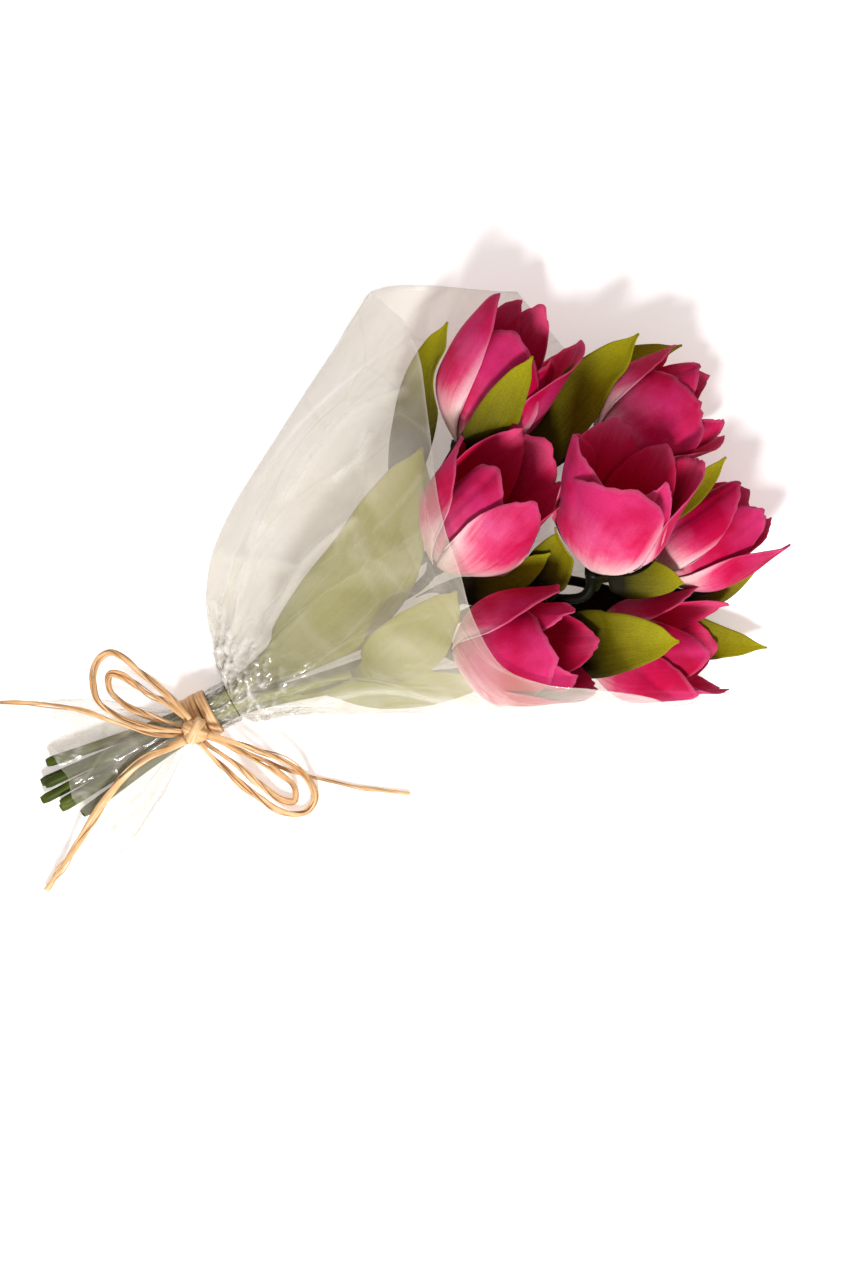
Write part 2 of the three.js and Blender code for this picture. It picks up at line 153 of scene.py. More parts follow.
def addTube(mesh, line, widths, sides, flat=1, turn=0, ridges=0, depth=0, start=None):
    # flat squashes the section of a tube, turn twists it, and ridges run along it
    steps = tangents(line)
    normal = Vector(start) if start is not None else squareTo(steps[0], 0)
    normals = []
    for step in steps:
        step = Vector(step)
        normal = (normal - step * normal.dot(step)).normalized()
        normals.append(normal.copy())
    last = len(line) - 1

    def move(across, along):
        row = round(along * last)
        step, up = Vector(steps[row]), normals[row]
        side = step.cross(up)
        twist = radians(turn) * along
        up, side = up * cos(twist) + side * sin(twist), side * cos(twist) - up * sin(twist)
        angle = 2 * pi * across
        reach = widths[row] * (1 + depth * cos(ridges * angle))
        point = Vector(line[row]) + up * (reach * flat * cos(angle)) + side * (reach * sin(angle))
        return point, along

    corners = addGrid(mesh, sides, last, move, (1, lengthsAlong(line)[-1] * mm))
    bmesh.ops.remove_doubles(mesh, verts=corners, dist=sameSpot)
    bmesh.ops.holes_fill(mesh, edges=[edge for edge in mesh.edges if edge.is_boundary], sides=0)


def finishPiece(mesh, materials, node, thickness=0, offset=-1):
    # a wall with a thickness has the last material on its far side
    name = node
    for old, new in (("tulip", "bloom"), ("raffia", "straw"), ("sleeve", "film")):
        name = name.replace(old, new)
    data = bpy.data.meshes.new(name)
    mesh.to_mesh(data)
    mesh.free()
    for material in materials:
        data.materials.append(material)
    for face in data.polygons:
        face.use_smooth = True
    piece = addObject(name, data)
    if thickness:
        wall = piece.modifiers.new("wall", "SOLIDIFY")
        setAll(wall, dict(thickness=thickness * mm, offset=offset, use_even_offset=False,
            material_offset=len(materials) - 1, material_offset_rim=0))
    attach(piece, "root")
    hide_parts(node)
    return piece


def finishTubes(mesh, material, node):
    bmesh.ops.recalc_face_normals(mesh, faces=mesh.faces)
    return finishPiece(mesh, [material], node)


# Node helpers
def shadeOf(value):
    # a grey from 0 to 1, or a colour from 0 to 255 as on a screen, made linear
    if isinstance(value, (int, float)):
        return (value, value, value, 1)
    parts = [part / 255 for part in value]
    return (*[part / 12.92 if part <= 0.04045 else ((part + 0.055) / 1.055) ** 2.4 for part in parts], 1)


def feed(tree, node, inputs):
    for socket, value in dict(inputs).items():
        if isinstance(value, bpy.types.NodeSocket):
            tree.links.new(value, node.inputs[socket])
        else:
            node.inputs[socket].default_value = value


def addNode(tree, kind, settings=(), inputs=()):
    made = tree.nodes.new("ShaderNode" + kind)
    setAll(made, settings)
    feed(tree, made, inputs)
    return made


def addMath(tree, operation, first, second=0):
    return addNode(tree, "Math", {"operation": operation}, {0: first, 1: second}).outputs[0]


def addNoise(tree, vector, scale, detail, **more):
    inputs = {"Vector": vector, "Scale": scale, "Detail": detail, **more}
    return addNode(tree, "TexNoise", inputs=inputs).outputs["Fac"]


def stretched(tree, vector, scale):
    return addNode(tree, "Mapping", inputs={"Vector": vector, "Scale": scale}).outputs[0]


def addRamp(tree, value, stops):
    ramp = addNode(tree, "ValToRGB", inputs={"Fac": value})
    while len(ramp.color_ramp.elements) < len(stops):
        ramp.color_ramp.elements.new(1)
    for element, (at, shade) in zip(ramp.color_ramp.elements, stops):
        element.position = at
        element.color = shadeOf(shade)
    return ramp.outputs["Color"]


def blend(tree, share, first, second, kind="MIX"):
    made = addNode(tree, "Mix", {"data_type": "RGBA", "blend_type": kind}, {"Factor": share})
    first, second = (one if isinstance(one, bpy.types.NodeSocket) else shadeOf(one) for one in (first, second))
    feed(tree, made, {6: first, 7: second})
    return made.outputs[2]


def addBump(tree, surface, height, strength, distance, **before):
    inputs = {"Height": height, "Strength": strength, "Distance": distance, **before}
    bump = addNode(tree, "Bump", inputs=inputs).outputs[0]
    feed(tree, surface, {"Normal": bump})
    return bump


def newMaterial(name):
    # also the UV, the place on the object and the number that each corner carries
    material = bpy.data.materials.new(name)
    material.use_nodes = True
    tree = material.node_tree
    uv, where = addNode(tree, "UVMap").outputs[0], addNode(tree, "TexCoord").outputs["Object"]
    rise = addNode(tree, "Attribute", {"attribute_name": "rise"}).outputs["Fac"]
    return material, tree, tree.nodes["Principled BSDF"], uv, where, rise


def fromMiddleOf(tree, sides):
    return addMath(tree, "ABSOLUTE", addMath(tree, "SUBTRACT", sides.outputs["X"], 0.5))


def unevenBy(tree, rise, pattern, share):
    # the height of a place, moved up or down a little by a pattern
    return addMath(tree, "ADD", rise, addMath(tree, "MULTIPLY", addMath(tree, "SUBTRACT", pattern, 0.5), share))


# Effects that more than one cloth has
def newGroup(name, given, made, kind):
    group = bpy.data.node_groups.new(name, "ShaderNodeTree")
    for label, socket in given.items():
        group.interface.new_socket(label, in_out="INPUT", socket_type="NodeSocket" + socket)
    group.interface.new_socket(made, in_out="OUTPUT", socket_type="NodeSocket" + kind)
    return group, group.nodes.new("NodeGroupInput").outputs, group.nodes.new("NodeGroupOutput").inputs[0]


def makeWeave():
    # threads crossing each other
    group, given, result = newGroup("clothWeave", dict(Vector="Vector", Threads="Float"), "Height", "Float")
    inputs = dict(Vector=given["Vector"], Scale=given["Threads"], Distortion=1.2, Detail=2)
    waves = [addNode(group, "TexWave", {"bands_direction": direction}, inputs) for direction in "XY"]
    height = addMath(group, "MULTIPLY", *[wave.outputs["Fac"] for wave in waves])
    group.links.new(height, result)
    return group


def makeSpeckle():
    # the fine uneven look of printed cloth
    given = dict(Vector="Vector", Dye="Color", Share="Float")
    group, given, result = newGroup("clothSpeckle", given, "Shade", "Color")
    specks = addRamp(group, addNoise(group, given["Vector"], 1300, 2), [(0.3, 0.6), (0.65, 1)])
    group.links.new(blend(group, given["Share"], given["Dye"], specks, "MULTIPLY"), result)
    return group


weave, speckle = makeWeave(), makeSpeckle()


def addGroup(tree, group, inputs):
    return addNode(tree, "Group", {"node_tree": group}, inputs).outputs[0]


def finishCloth(tree, surface, where, dye, furrows, settings):
    # speckles, gloss, furrows along the piece and the threads of the weave
    shade = addGroup(tree, speckle, dict(Vector=where, Dye=dye, Share=settings["speckle"]))
    feed(tree, surface, {"Base Color": shade, **settings["surface"]})
    furrowed = addBump(tree, surface, furrows, *settings["furrows"])
    threads = addGroup(tree, weave, {"Vector": where, "Threads": 900})
    addBump(tree, surface, threads, settings["weave"], 0.0001, Normal=furrowed)


# Materials
petalOutsideSettings = dict(
    deep=[(0, (240, 206, 194)), (0.12, (230, 140, 154)), (0.24, (208, 46, 96)), (0.44, (186, 6, 66)),
        (0.8, (164, 0, 46)), (1, (186, 10, 68))],
    lilac=[(0, (240, 208, 202)), (0.3, (216, 92, 138)), (0.6, (198, 44, 106)), (1, (204, 52, 114))],
    patches=[(0.4, 0), (0.62, 0.75)], patchSize=42,
    side=(238, 196, 204), sideAt=[(0.4, 0), (0.5, 1)], sideShare=[(0.4, 0.75), (0.95, 0.15)],
    tip=(222, 110, 150), tipAt=[(0.95, 0), (1, 0.35)],
    streaks=(20, 2, 1), uneven=0.24, sideFade=(2.6, 1.4),
    speckle=0.35, furrows=(0.35, 0.0007), weave=0.3,
    surface={"Roughness": 0.65, "Sheen Weight": 0.06, "Sheen Roughness": 0.4, "Sheen Tint": (1, 0.2, 0.5, 1),
        "Specular IOR Level": 0.06})
petalInsideSettings = dict(
    # dye is crimson with painted shade and light: near black at the foot, deep in the cup, pinker toward the rim
    dye=[(0, (74, 0, 2)), (0.25, (150, 0, 16)), (0.46, (192, 0, 36)), (0.66, (200, 8, 56)),
        (0.86, (206, 30, 80)), (1, (212, 66, 110))],
    side=(220, 110, 145), sideAt=[(0.46, 0), (0.5, 0.5)],
    streaks=(22, 1.8, 1), uneven=0.3,
    speckle=0.3, furrows=(0.35, 0.0007), weave=0.3,
    surface={"Roughness": 0.66, "Sheen Weight": 0.03, "Sheen Tint": (1, 0.2, 0.4, 1),
        "Specular IOR Level": 0.05})
leafClothSettings = dict(
    # leafCloth is olive dye with painted shade, near black over the lower part of a leaf; paleLeafCloth has a short
    # dark foot
    leafCloth=[(0, (12, 7, 2)), (0.4, (30, 22, 2)), (0.66, (104, 96, 4)), (1, (164, 156, 14))],
    paleLeafCloth=[(0, (66, 62, 3)), (0.1, (122, 122, 6)), (0.45, (150, 150, 14)), (1, (166, 162, 22))],
    veins=(34, 1.2, 1), veinAt=[(0.35, (206, 206, 190)), (0.62, 1)], veinShare=0.6,
    cloudSize=40, uneven=0.4,
    speckle=0.5, furrows=(0.4, 0.0005), weave=0.25,
    surface={"Roughness": 0.6, "Sheen Weight": 0.03, "Sheen Tint": (0.7, 1, 0.2, 1),
        "Specular IOR Level": 0.08})


def makePetalOutside(settings):
    material, tree, surface, uv, where, rise = newMaterial("petalOutside")
    sides = addNode(tree, "SeparateXYZ", inputs={"Vector": uv})
    fromMiddle = fromMiddleOf(tree, sides)
    streaks = addNoise(tree, stretched(tree, uv, settings["streaks"]), 1, 6, Roughness=0.6)
    # the dye fades to a pale foot, and down the sides of the petal
    power, fade = settings["sideFade"]
    height = unevenBy(tree, rise, streaks, settings["uneven"])
    height = addMath(tree, "SUBTRACT", height,
            addMath(tree, "MULTIPLY", addMath(tree, "POWER", fromMiddle, power), fade))
    patches = addRamp(tree, addNoise(tree, where, settings["patchSize"], 3), settings["patches"])
    dye = blend(tree, patches, addRamp(tree, height, settings["deep"]),
            addRamp(tree, height, settings["lilac"]))
    beside, low = addRamp(tree, fromMiddle, settings["sideAt"]), addRamp(tree, rise, settings["sideShare"])
    dye = blend(tree, addMath(tree, "MULTIPLY", beside, low), dye, settings["side"])
    dye = blend(tree, addRamp(tree, sides.outputs["Y"], settings["tipAt"]), dye, settings["tip"])
    finishCloth(tree, surface, where, dye, streaks, settings)
    return material


def makePetalInside(settings):
    material, tree, surface, uv, where, rise = newMaterial("petalInside")
    fromMiddle = fromMiddleOf(tree, addNode(tree, "SeparateXYZ", inputs={"Vector": uv}))
    streaks = addNoise(tree, stretched(tree, uv, settings["streaks"]), 1, 5)
    # painted shade toward the foot of the inside, painted light toward its rim
    dye = addRamp(tree, unevenBy(tree, rise, streaks, settings["uneven"]), settings["dye"])
    dye = blend(tree, addRamp(tree, fromMiddle, settings["sideAt"]), dye, settings["side"])
    finishCloth(tree, surface, where, dye, streaks, settings)
    return material


def makeLeafCloth(name, settings):
    material, tree, surface, uv, where, rise = newMaterial(name)
    veins = addNoise(tree, stretched(tree, uv, settings["veins"]), 1, 3)
    clouds = addNoise(tree, where, settings["cloudSize"], 5)
    # dark toward the foot of the leaf as painted shade, over the olive dye
    dye = addRamp(tree, unevenBy(tree, rise, clouds, settings["uneven"]), settings[name])
    dye = blend(tree, settings["veinShare"], dye, addRamp(tree, veins, settings["veinAt"]), "MULTIPLY")
    finishCloth(tree, surface, where, dye, veins, settings)
    return material


stemPlasticSettings = dict(
    blotches=[(0.25, (34, 44, 8)), (0.55, (60, 72, 16)), (0.8, (98, 106, 36))], blotchSize=90,
    middle=(134, 136, 30), middleAt=[(0.36, 0), (0.46, 0.75)],
    # top is painted shade: the stem turns near black just under the flower
    top=(12, 12, 3), topAt=[(0.74, 0), (0.84, 1)],
    lines=(14, 30, 1), rough=[(0.3, 0.35), (0.7, 0.6)], relief=(0.4, 0.0003),
    surface={"Specular IOR Level": 0.12})


def makeStemPlastic(settings):
    material, tree, surface, uv, where, rise = newMaterial("stemPlastic")
    shade = addRamp(tree, addNoise(tree, where, settings["blotchSize"], 5), settings["blotches"])
    lines = addNoise(tree, stretched(tree, uv, settings["lines"]), 1, 3)
    # yellower over the tie, and painted shade just under the flower, where the flower shades the stem
    for part in ("middle", "top"):
        shade = blend(tree, addRamp(tree, rise, settings[part + "At"]), shade, settings[part])
    rough = addRamp(tree, lines, settings["rough"])
    feed(tree, surface, {"Base Color": shade, "Roughness": rough, **settings["surface"]})
    addBump(tree, surface, lines, *settings["relief"])
    return material


clearFilmSettings = dict(
    clearFilm=(0.15, 0.25), skirtFilm=(0.07, 0.13),
    softSize=26, fine=(42, 3, 1), cells=(7, 3.2, 1), foldWidth=0.03, hazeFrom=0.35, hazeTo=0.7,
    # tint is painted shade, a warm grey over the table, and the near white after it a painted highlight on creases
    foldShare=0.05, creaseShare=0.3, tint=[(0.3, (206, 197, 174)), (0.7, (238, 231, 214))],
    creaseHighlight=(255, 253, 246), creaseHighlightShare=(1.5, 0.9),
    gloss=0.09, glossIor=1.4, mostGloss=0.4, surface={"Roughness": 0.2, "IOR": 1.5})


def makeClearFilm(name, settings):
    material, tree, surface, uv, where, crease = newMaterial(name)
    thin, thick = settings[name]
    soft = addNoise(tree, where, settings["softSize"], 3, Distortion=1)
    fine = addNoise(tree, stretched(tree, uv, settings["fine"]), 1, 3, Distortion=0.6)
    cells = addNode(tree, "TexVoronoi", {"feature": "DISTANCE_TO_EDGE"}, {
        "Vector": stretched(tree, uv, settings["cells"]), "Scale": 1}).outputs["Distance"]
    folds = addRamp(tree, cells, [(0, 1), (settings["foldWidth"], 0)])
    alpha = addRamp(tree, soft, [(settings["hazeFrom"], thin), (settings["hazeTo"], thick)])
    # the alpha also rises along creases, crushed places and edges, so that the painted highlight shows
    for pattern, share in ((folds, settings["foldShare"]), (crease, settings["creaseShare"])):
        alpha = addMath(tree, "ADD", alpha, addMath(tree, "MULTIPLY", pattern, share))
    # painted highlight: white along creases, crushed places and edges; the warm grey tint, varying at random, is
    # painted shade
    share, most = settings["creaseHighlightShare"]
    white = addMath(tree, "MINIMUM", addMath(tree, "MULTIPLY", crease, share), most)
    tint = blend(tree, white, addRamp(tree, soft, settings["tint"]), settings["creaseHighlight"])
    feed(tree, surface, {"Base Color": tint, "Alpha": alpha, **settings["surface"]})
    creased = addBump(tree, surface, soft, 0.3, 0.004)
    lined = addBump(tree, surface, fine, 0.1, 0.001, Normal=creased)
    crossed = addBump(tree, surface, folds, 0.3, 0.0005, Normal=lined)
    # the gloss lies over the film, so that it isn't as faint as its colour
    gloss = addNode(tree, "BsdfGlossy", inputs={"Roughness": settings["gloss"], "Normal": crossed})
    share = addNode(tree, "Fresnel", inputs={"IOR": settings["glossIor"], "Normal": crossed}).outputs[0]
    facing = addMath(tree, "SUBTRACT", 1, addNode(tree, "NewGeometry").outputs["Backfacing"])
    share = addMath(tree, "MINIMUM", addMath(tree, "MULTIPLY", share, facing), settings["mostGloss"])
    both = addNode(tree, "MixShader", inputs={0: share, 1: surface.outputs[0], 2: gloss.outputs[0]})
    feed(tree, tree.nodes["Material Output"], {"Surface": both.outputs[0]})
    return material


raffiaStrawSettings = dict(
    shades=[(0.3, (150, 100, 54)), (0.45, (206, 158, 102)), (0.58, (234, 192, 142)), (0.75, (250, 222, 184))],
    fibres=(16, 60, 1), patchSize=110, fibreShare=0.6, patchShare=0.4,
    rough=[(0.3, 0.42), (0.7, 0.68)], relief=(0.7, 0.0006))


def makeRaffiaStraw(settings):
    material, tree, surface, uv, where, _ = newMaterial("raffiaStraw")
    fibres = addNoise(tree, stretched(tree, uv, settings["fibres"]), 1, 6)
    patches = addNoise(tree, where, settings["patchSize"], 4)
    mixed = addMath(tree, "ADD", addMath(tree, "MULTIPLY", fibres, settings["fibreShare"]),
            addMath(tree, "MULTIPLY", patches, settings["patchShare"]))
    shade, rough = addRamp(tree, mixed, settings["shades"]), addRamp(tree, fibres, settings["rough"])
    feed(tree, surface, {"Base Color": shade, "Roughness": rough})
    addBump(tree, surface, fibres, *settings["relief"])
    return material


petalOutside, petalInside = makePetalOutside(petalOutsideSettings), makePetalInside(petalInsideSettings)
leafCloth, paleLeafCloth = [makeLeafCloth(name, leafClothSettings) for name in ("leafCloth", "paleLeafCloth")]
clearFilm, skirtFilm = [makeClearFilm(name, clearFilmSettings) for name in ("clearFilm", "skirtFilm")]
stemPlastic, raffiaStraw = makeStemPlastic(stemPlasticSettings), makeRaffiaStraw(raffiaStrawSettings)
print("materials ready")

# Raffia: the knot, and the straw of each strand
knotSettings = dict(place=(-5, -4, 24), size=(5.2, 4.8, 3.6), off=0.6, grow=0.9, swirl=0.05, lumps=0.06,
    rows=48, tube=dict(sides=16, flat=0.32, ridges=5, depth=0.14),
    overKnot=((35, 12, 2.2), (-48, -8, 1.9), (100, 20, 1.5)))


def knotReach(heading):
    # how far the side of the knot is from its middle
    return 1 / Vector([heading[axis] / knotSettings["size"][axis] for axis in range(3)]).length


def port(around, above):
    # where a strand meets the knot
    around, above = radians(around), radians(above)
    heading = Vector((cos(around) * cos(above), sin(around) * cos(above), sin(above)))
    return Vector(knotSettings["place"]) + heading * (knotReach(heading) + knotSettings["off"])


# half the width of each strand and its route
raffiaSettings = {
    "raffia_loop_left_outer": (1.1, [
        port(85, 14), (-7, 12, 26.5), (-12, 24, 27.5), (-16, 34, 27), (-20, 39.5, 26.5), (-26, 39, 26),
        (-31, 34, 25.5), (-33.5, 26, 25), (-30, 16, 25), (-22, 7, 25), port(152, 14)]),
    "raffia_loop_left_inner": (1.1, [
        port(97, -22), (-10, 11, 21.5), (-16, 20, 22), (-20.5, 29, 21.5), (-25, 32, 21), (-27.5, 28, 21),
        (-25.5, 19, 21.5), (-18, 9, 21.5), port(132, -22)]),
    "raffia_loop_right_outer": (1.1, [
        port(-42, 14), (6, -15, 23), (14, -24, 18.5), (21, -33, 13), (24.5, -42, 8.5), (23, -51, 5),
        (17, -54.5, 3.5), (9.5, -50, 4.5), (3.5, -40, 9), (-1, -28, 15), (-4, -17, 21), port(-98, 14)]),
    "raffia_loop_right_inner": (1.1, [
        port(-52, -22), (3, -15, 18), (10, -25, 13), (15, -34, 8), (18, -43, 5), (15, -48, 3), (10, -44, 4),
        (6, -35, 7), (2, -24, 11.5), (-2.4, -14, 17.5), port(-84, -22)]),
    "raffia_tail_left_thin": (0.9, [
        port(172, -20), (-20, 2, 22.6), (-30, 12, 23), (-41, 24, 22), (-54, 34, 19), (-70, 43, 13), (-88, 51, 5)]),
    "raffia_tail_left_wide": (1.7, [
        port(195, 14), (-18, -5, 24.5), (-28, -4.6, 23), (-42, -8, 21), (-56, -14.5, 19.5), (-68, -21, 14.5),
        (-80, -27, 7), (-91, -32.5, 2.2)]),
    "raffia_tail_right": (0.8, [
        port(-68, -50), (4, -17, 12), (11, -26, 6), (20, -37, 2.6), (30, -46.5, 1.4), (43, -57, 1.2),
        (58, -67.6, 1.2)]),
}
strandSettings = dict(rows=90, tube=dict(sides=18, flat=0.55, ridges=5, depth=0.12), twist=300, moreTwist=90,
    single=0.98, double=0.88, winds=1.3, apart=0.62, sway=0.5, bends=5, ends=6, lowest=0.8)
fibreSettings = dict(tube=dict(sides=7, ridges=3, depth=0.15), most=0.3, share=0.26, apart=0.8, sway=0.9, bends=6,
    ends=8, lowest=0.45)


def windBeside(line, settings, turns, start, seed, reach, apart, lowest):
    # a line that winds round another one, nears it at both ends and stays off the table
    steps, ends = tangents(line), settings["ends"]
    beside = []
    for row, centre in enumerate(line):
        along = row / (len(line) - 1)
        up = squareTo(steps[row], 0) if abs(steps[row][2]) < 0.9 else Vector((1, 0, 0))
        side = Vector(steps[row]).cross(up)
        angle = 2 * pi * (start + turns * along)
        sway = settings["sway"] * wander(seed, along, settings["bends"])
        off = reach * (apart + sway) * min(1, ends * along, ends - ends * along)
        beside.append(Vector(centre) + (up * cos(angle) + side * sin(angle)) * max(off, 0.05))
    beside = np.array([list(point) for point in beside])
    beside[:, 2] = np.maximum(beside[:, 2], lowest)
    return beside


def makeRaffiaStrand(name, radius, route, seed):
    # a loop is two strands wound about each other that end in the knot, and a tail is one
    strands, end = (2, "object") if "loop" in name else (1, "bare")
    rows = strandSettings["rows"]
    line = smoothLine(route, rows + 1)
    half = radius * strandSettings["single" if strands == 1 else "double"]
    mesh = bmesh.new()
    for strand in range(strands):
        widths = [half * (0.97 + 0.3 * wander(seed + 9 * strand, row / rows, 9)) for row in range(rows + 1)]
        middle = windBeside(line, strandSettings, strandSettings["winds"], strand / 2 + 0.1 * seed, seed + 4,
            radius * (strands - 1), strandSettings["apart"], radius * strandSettings["lowest"])
        twist = strandSettings["twist"] + strandSettings["moreTwist"] * ((seed + strand) % 3)
        addTube(mesh, middle, widths, turn=twist, **strandSettings["tube"])
    # fine fibres that have come away from the strand and wind round it
    half = min(fibreSettings["most"], radius * fibreSettings["share"])
    for fibre in range(strands + 1):
        beside = windBeside(line, fibreSettings, 1 + 1.1 * (strands - 1), fibre / 3 + 0.16 * seed,
            seed + 5 * fibre + 2, radius, fibreSettings["apart"] + 0.1 * strands, fibreSettings["lowest"])
        addTube(mesh, beside, [half] * (rows + 1), **fibreSettings["tube"])
    piece = finishTubes(mesh, raffiaStraw, name)


for seed, (name, (radius, route)) in enumerate(raffiaSettings.items()):
    makeRaffiaStrand(name, radius, route, seed + 1)

# The turns side by side round the neck: each has its place along it, half its width and its slant
wrapSettings = dict(radius=9.35, middle=10.4, turns=[(-6.1, 2.1, 0.5), (-2.3, 2.3, -0.6), (1.7, 2.2, 0.3)],
    rows=72, tube=dict(sides=20, flat=0.27, ridges=7, depth=0.1), uneven=0.12)


def makeRaffiaWrap(settings):
    mesh = bmesh.new()
    rows, uneven = settings["rows"], settings["uneven"]
    for index, (along, half, slant) in enumerate(settings["turns"]):
        line, widths = [], []
        for row in range(rows + 1):
            angle = 2 * pi * row / rows - pi / 2
            radius = settings["radius"] + uneven * wander(index + 3, row / rows, 7)
            height = settings["middle"] + radius * sin(angle)
            line.append((along + slant * sin(angle), radius * cos(angle), height))
            widths.append(half * (1 + uneven * wander(index, row / rows, 8)))
        addTube(mesh, np.array(line), widths, start=(0, 0, -1), **settings["tube"])
    finishTubes(mesh, raffiaStraw, "raffia_wrap")


def makeRaffiaKnot(settings):
    mesh = bmesh.new()
    centre, rows = Vector(settings["place"]), settings["rows"]
    ball = bmesh.ops.create_uvsphere(mesh, u_segments=36, v_segments=22, radius=1)["verts"]
    for corner in ball:
        heading = corner.co.normalized()
        swirl = cos(9 * atan2(heading.y + 0.4 * heading.z, heading.x) + 4 * heading.z)
        grow = settings["grow"] + settings["swirl"] * swirl + settings["lumps"] * noise.noise(heading * 2.3)
        corner.co = place(centre + Vector([heading[axis] * settings["size"][axis] * grow for axis in range(3)]))
    # the strands drawn over the knot: each has its turn, its tilt and half its width
    for turn, tilt, half in settings["overKnot"]:
        turn, tilt = radians(turn), radians(tilt)
        line = []
        for row in range(rows + 1):
            angle = radians(-20 + 220 * row / rows)
            heading = Vector((cos(angle) * cos(turn), cos(angle) * sin(turn), sin(angle)))
            heading = (heading + Vector((0, 0, sin(tilt) * cos(angle)))).normalized()
            line.append(list(centre + heading * (knotReach(heading) * 0.99)))
        addTube(mesh, np.array(line), [half] * (rows + 1), **settings["tube"])
    finishTubes(mesh, raffiaStraw, "raffia_knot")


makeRaffiaWrap(wrapSettings)
makeRaffiaKnot(knotSettings)
print("raffia ready")


# Flowers. at is a petal's angle round the flower from the side that faces up, spread half its width in degrees
# and reach its length as a share. skew moves its tip to a side, fold turns a margin back and pale lengthens its
# light foot.
def petal(at, spread, reach, lean=0, curl=0, point=0.55, skew=0, fold=0, bulge=0, pale=0):
    return at, spread, reach, lean, curl, point, skew, fold, bulge, pale
